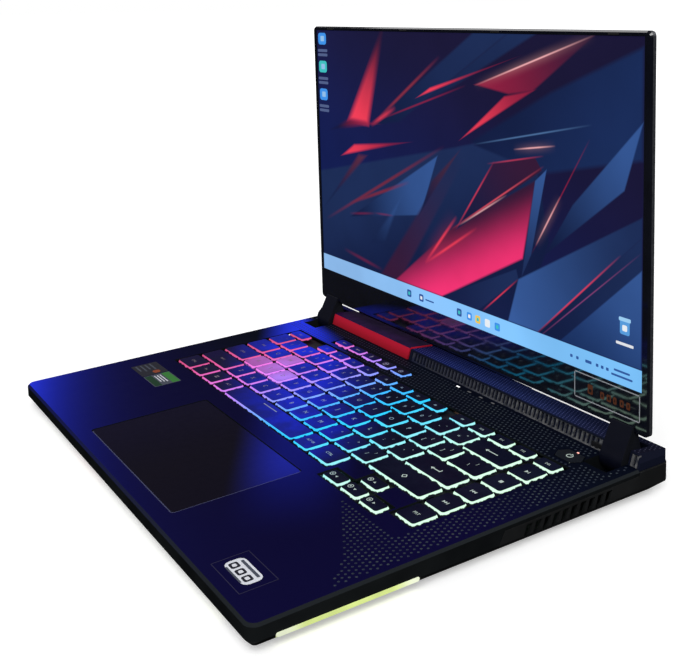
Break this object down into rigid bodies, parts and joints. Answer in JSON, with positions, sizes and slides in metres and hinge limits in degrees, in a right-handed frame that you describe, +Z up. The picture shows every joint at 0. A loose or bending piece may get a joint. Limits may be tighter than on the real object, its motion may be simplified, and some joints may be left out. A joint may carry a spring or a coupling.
{
  "type": "laptop computer",
  "caption": "Open clamshell laptop computer with a lit keyboard, upright screen on two hinge arms, raised rear vent deck and touch pad.",
  "frame": {"origin": "centre of the base's footprint, on the surface the rubber feet rest on", "axes": "+X to the user's right along the long side, +Y to the back, +Z up"},
  "size_m": [0.354, 0.259, 0.2552],
  "materials": {
    "cover_plastic": "fine moulded texture, dark grey",
    "deck_plastic": "soft-touch black with a field of small raised dots",
    "lid_metal": "brushed and anodised, dark grey",
    "hinge_plastic": "fine satin",
    "bezel_gloss": "satin black that mirrors the lit keys",
    "screen": "lit matte screen showing an abstract picture",
    "red_plastic": "red, satin, faintly see-through",
    "grille_metal": "grey ribs",
    "light_guide": "milky light guide, lit",
    "light_window": "small clear windows",
    "keycap": "black tops, milky lit skirts",
    "clear_keycap": "milky clear caps, lit",
    "button_plastic": "satin black",
    "pad_surface": "smooth satin with a bright cut edge",
    "plate_metal": "blackened sheet",
    "backlight_film": "light-spreading film",
    "steel": "machined",
    "socket_metal": "stamped and plated",
    "black_plastic": "moulded",
    "copper": "drawn copper",
    "fin_aluminium": "folded sheet",
    "circuit_board": "dark solder mask",
    "battery_film": "wrapped cells",
    "rubber": "matte"
  },
  "bodies": {
    "base": {"accent_cap": "red_plastic", "audio_socket": "black_plastic", "battery": "battery_film", "bottom_cover": "cover_plastic", "bottom_screws": "steel", "display_socket": "socket_metal", "fan_housings": "black_plastic", "front_grille": "grille_metal", "heat_pipes": "copper", "heat_sinks": "fin_aluminium", "hinge_brackets": "plate_metal", "hinge_shafts": "steel", "keyboard_backlight": "backlight_film", "keyboard_plate": "plate_metal", "light_bar": "light_guide", "mainboard": "circuit_board", "memory_modules": "circuit_board", "network_socket": "socket_metal", "palm_rest": "deck_plastic", "power_inlet": "black_plastic", "rear_deck": "cover_plastic", "rear_panels": "cover_plastic", "rubber_feet": "rubber", "solid_state_drive": "circuit_board", "speakers": "black_plastic", "status_lights": "light_window", "touch_pad_frame": "plate_metal", "usb_sockets": "socket_metal"},
    "lid": {"hinge_arm_right": "hinge_plastic", "hinge_arm_left": "hinge_plastic", "lid_back_cover": "lid_metal", "screen_bezel": "bezel_gloss", "display_panel": "screen", "hinge_leaves": "plate_metal", "lid_bumpers": "rubber", "display_cable": "black_plastic"},
    "touch_pad": {"touch_pad": "pad_surface"},
    "power_button": {"power_button": "button_plastic"},
    "fan_right": {"fan_rotor_right": "black_plastic"},
    "fan_left": {"fan_rotor_left": "black_plastic"},
    "escape_key": {"escape_key": "keycap"},
    "function_keys": {"function_keys": "keycap"},
    "number_row_keys": {"number_row_keys": "keycap"},
    "backspace_key": {"backspace_key": "keycap"},
    "letter_w_key": {"letter_w_key": "clear_keycap"},
    "upper_row_keys": {"upper_row_keys": "keycap"},
    "letter_asd_keys": {"letter_asd_keys": "clear_keycap"},
    "home_row_keys": {"home_row_keys": "keycap"},
    "enter_key": {"enter_key": "keycap"},
    "left_shift_key": {"left_shift_key": "keycap"},
    "lower_row_keys": {"lower_row_keys": "keycap"},
    "right_shift_key": {"right_shift_key": "keycap"},
    "modifier_keys": {"modifier_keys": "keycap"},
    "space_bar": {"space_bar": "keycap"},
    "left_arrow_key": {"left_arrow_key": "keycap"},
    "down_arrow_key": {"down_arrow_key": "keycap"},
    "right_arrow_key": {"right_arrow_key": "keycap"},
    "up_arrow_key": {"up_arrow_key": "keycap"},
    "side_column_keys": {"side_column_keys": "keycap"},
    "hot_keys": {"hot_keys": "keycap"}
  },
  "joints": [
    {"name": "lid_hinge", "type": "hinge", "parent": "base", "child": "lid", "pos_m": [0, 0.1092, 0.0172], "axis": [-1, 0, 0], "range_deg": [-90.9, 36]},
    {"name": "touch_pad_click", "type": "hinge", "parent": "base", "child": "touch_pad", "pos_m": [-0.00165, -0.0415, 0.0156], "axis": [1, 0, 0], "range_deg": [0, 0.55], "stiffness_Nm_per_rad": 20, "springref_deg": -0.57},
    {"name": "power_button_press", "type": "slide", "parent": "base", "child": "power_button", "axis": [0, 0.0157, -0.9999], "range_m": [0, 0.0008], "stiffness_N_per_m": 800, "springref_m": -0.0005},
    {"name": "fan_right_spin", "type": "hinge", "parent": "base", "child": "fan_right", "pos_m": [0.112, 0.064, 0.0074], "axis": [0, 0, 1], "continuous": true},
    {"name": "fan_left_spin", "type": "hinge", "parent": "base", "child": "fan_left", "pos_m": [-0.112, 0.064, 0.0074], "axis": [0, 0, 1], "continuous": true},
    {"name": "escape_key_press", "type": "slide", "parent": "base", "child": "escape_key", "axis": [0, 0.0157, -0.9999], "range_m": [0, 0.0018], "stiffness_N_per_m": 250, "springref_m": -0.0012},
    {"name": "function_keys_press", "type": "slide", "parent": "base", "child": "function_keys", "axis": [0, 0.0157, -0.9999], "range_m": [0, 0.0018], "stiffness_N_per_m": 250, "springref_m": -0.0012},
    {"name": "number_row_keys_press", "type": "slide", "parent": "base", "child": "number_row_keys", "axis": [0, 0.0157, -0.9999], "range_m": [0, 0.0018], "stiffness_N_per_m": 250, "springref_m": -0.0012},
    {"name": "backspace_key_press", "type": "slide", "parent": "base", "child": "backspace_key", "axis": [0, 0.0157, -0.9999], "range_m": [0, 0.0018], "stiffness_N_per_m": 250, "springref_m": -0.0012},
    {"name": "letter_w_key_press", "type": "slide", "parent": "base", "child": "letter_w_key", "axis": [0, 0.0157, -0.9999], "range_m": [0, 0.0018], "stiffness_N_per_m": 250, "springref_m": -0.0012},
    {"name": "upper_row_keys_press", "type": "slide", "parent": "base", "child": "upper_row_keys", "axis": [0, 0.0157, -0.9999], "range_m": [0, 0.0018], "stiffness_N_per_m": 250, "springref_m": -0.0012},
    {"name": "letter_asd_keys_press", "type": "slide", "parent": "base", "child": "letter_asd_keys", "axis": [0, 0.0157, -0.9999], "range_m": [0, 0.0018], "stiffness_N_per_m": 250, "springref_m": -0.0012},
    {"name": "home_row_keys_press", "type": "slide", "parent": "base", "child": "home_row_keys", "axis": [0, 0.0157, -0.9999], "range_m": [0, 0.0018], "stiffness_N_per_m": 250, "springref_m": -0.0012},
    {"name": "enter_key_press", "type": "slide", "parent": "base", "child": "enter_key", "axis": [0, 0.0157, -0.9999], "range_m": [0, 0.0018], "stiffness_N_per_m": 250, "springref_m": -0.0012},
    {"name": "left_shift_key_press", "type": "slide", "parent": "base", "child": "left_shift_key", "axis": [0, 0.0157, -0.9999], "range_m": [0, 0.0018], "stiffness_N_per_m": 250, "springref_m": -0.0012},
    {"name": "lower_row_keys_press", "type": "slide", "parent": "base", "child": "lower_row_keys", "axis": [0, 0.0157, -0.9999], "range_m": [0, 0.0018], "stiffness_N_per_m": 250, "springref_m": -0.0012},
    {"name": "right_shift_key_press", "type": "slide", "parent": "base", "child": "right_shift_key", "axis": [0, 0.0157, -0.9999], "range_m": [0, 0.0018], "stiffness_N_per_m": 250, "springref_m": -0.0012},
    {"name": "modifier_keys_press", "type": "slide", "parent": "base", "child": "modifier_keys", "axis": [0, 0.0157, -0.9999], "range_m": [0, 0.0018], "stiffness_N_per_m": 250, "springref_m": -0.0012},
    {"name": "space_bar_press", "type": "slide", "parent": "base", "child": "space_bar", "axis": [0, 0.0157, -0.9999], "range_m": [0, 0.0018], "stiffness_N_per_m": 250, "springref_m": -0.0012},
    {"name": "left_arrow_key_press", "type": "slide", "parent": "base", "child": "left_arrow_key", "axis": [0, 0.0157, -0.9999], "range_m": [0, 0.0018], "stiffness_N_per_m": 250, "springref_m": -0.0012},
    {"name": "down_arrow_key_press", "type": "slide", "parent": "base", "child": "down_arrow_key", "axis": [0, 0.0157, -0.9999], "range_m": [0, 0.0018], "stiffness_N_per_m": 250, "springref_m": -0.0012},
    {"name": "right_arrow_key_press", "type": "slide", "parent": "base", "child": "right_arrow_key", "axis": [0, 0.0157, -0.9999], "range_m": [0, 0.0018], "stiffness_N_per_m": 250, "springref_m": -0.0012},
    {"name": "up_arrow_key_press", "type": "slide", "parent": "base", "child": "up_arrow_key", "axis": [0, 0.0157, -0.9999], "range_m": [0, 0.0018], "stiffness_N_per_m": 250, "springref_m": -0.0012},
    {"name": "side_column_keys_press", "type": "slide", "parent": "base", "child": "side_column_keys", "axis": [0, 0.0157, -0.9999], "range_m": [0, 0.0018], "stiffness_N_per_m": 250, "springref_m": -0.0012},
    {"name": "hot_keys_press", "type": "slide", "parent": "base", "child": "hot_keys", "axis": [0, 0.0157, -0.9999], "range_m": [0, 0.0018], "stiffness_N_per_m": 250, "springref_m": -0.0012}
  ]
}
